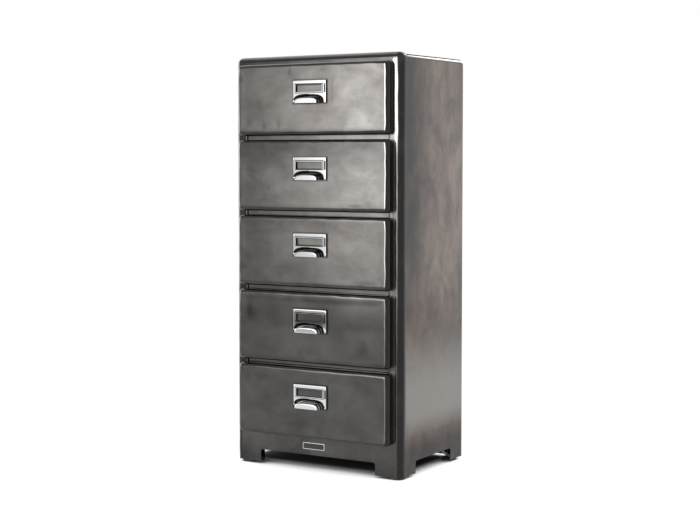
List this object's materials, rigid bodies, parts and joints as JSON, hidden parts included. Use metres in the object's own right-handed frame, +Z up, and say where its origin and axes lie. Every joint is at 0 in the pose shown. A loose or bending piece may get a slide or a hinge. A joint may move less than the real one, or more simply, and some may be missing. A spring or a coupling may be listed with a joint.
{
  "type": "chest of drawers",
  "caption": "Tall narrow sheet steel chest of drawers on low legs, with proud rounded drawer fronts and cup pulls with label windows.",
  "frame": {"origin": "centre of the bounding box at floor level, with all drawers closed", "axes": "+Z up, the drawer fronts face -Y, +X to the viewer's right when facing the front"},
  "size_m": [0.42, 0.3296, 0.9],
  "materials": {
    "burnished_steel": "burnished dark sheet steel under clear lacquer, mottled, with soft highlights",
    "bare_steel": "plain rolled sheet steel, satin",
    "zinc_plate": "zinc plated, satin",
    "chrome": "bright chrome plate",
    "black_nylon": "moulded, matt",
    "black_rubber": "matt"
  },
  "bodies": {
    "cabinet": {"front_frame": "burnished_steel", "body_shell": "burnished_steel", "back_panel": "burnished_steel", "floor_panel": "burnished_steel", "rail_1": "burnished_steel", "rail_2": "burnished_steel", "rail_3": "burnished_steel", "rail_4": "burnished_steel", "runners_1": "zinc_plate", "runners_2": "zinc_plate", "runners_3": "zinc_plate", "runners_4": "zinc_plate", "runners_5": "zinc_plate", "leg_gussets": "bare_steel", "glide_front_left": "black_nylon", "glide_front_right": "black_nylon", "glide_rear_left": "black_nylon", "glide_rear_right": "black_nylon", "glide_nuts": "zinc_plate", "badge": "chrome", "back_screws": "zinc_plate"},
    "drawer_1": {"drawer_1_front": "burnished_steel", "drawer_1_liner": "burnished_steel", "drawer_1_tray": "bare_steel", "drawer_1_slides": "zinc_plate", "drawer_1_pull": "chrome", "drawer_1_pull_rivets": "chrome", "drawer_1_buffers": "black_rubber"},
    "drawer_2": {"drawer_2_front": "burnished_steel", "drawer_2_liner": "burnished_steel", "drawer_2_tray": "bare_steel", "drawer_2_slides": "zinc_plate", "drawer_2_pull": "chrome", "drawer_2_pull_rivets": "chrome", "drawer_2_buffers": "black_rubber"},
    "drawer_3": {"drawer_3_front": "burnished_steel", "drawer_3_liner": "burnished_steel", "drawer_3_tray": "bare_steel", "drawer_3_slides": "zinc_plate", "drawer_3_pull": "chrome", "drawer_3_pull_rivets": "chrome", "drawer_3_buffers": "black_rubber"},
    "drawer_4": {"drawer_4_front": "burnished_steel", "drawer_4_liner": "burnished_steel", "drawer_4_tray": "bare_steel", "drawer_4_slides": "zinc_plate", "drawer_4_pull": "chrome", "drawer_4_pull_rivets": "chrome", "drawer_4_buffers": "black_rubber"},
    "drawer_5": {"drawer_5_front": "burnished_steel", "drawer_5_liner": "burnished_steel", "drawer_5_tray": "bare_steel", "drawer_5_slides": "zinc_plate", "drawer_5_pull": "chrome", "drawer_5_pull_rivets": "chrome", "drawer_5_buffers": "black_rubber"}
  },
  "joints": [
    {"name": "drawer_1_slide", "type": "slide", "parent": "cabinet", "child": "drawer_1", "axis": [0, -1, 0], "range_m": [0, 0.2]},
    {"name": "drawer_2_slide", "type": "slide", "parent": "cabinet", "child": "drawer_2", "axis": [0, -1, 0], "range_m": [0, 0.2]},
    {"name": "drawer_3_slide", "type": "slide", "parent": "cabinet", "child": "drawer_3", "axis": [0, -1, 0], "range_m": [0, 0.2]},
    {"name": "drawer_4_slide", "type": "slide", "parent": "cabinet", "child": "drawer_4", "axis": [0, -1, 0], "range_m": [0, 0.2]},
    {"name": "drawer_5_slide", "type": "slide", "parent": "cabinet", "child": "drawer_5", "axis": [0, -1, 0], "range_m": [0, 0.2]}
  ]
}
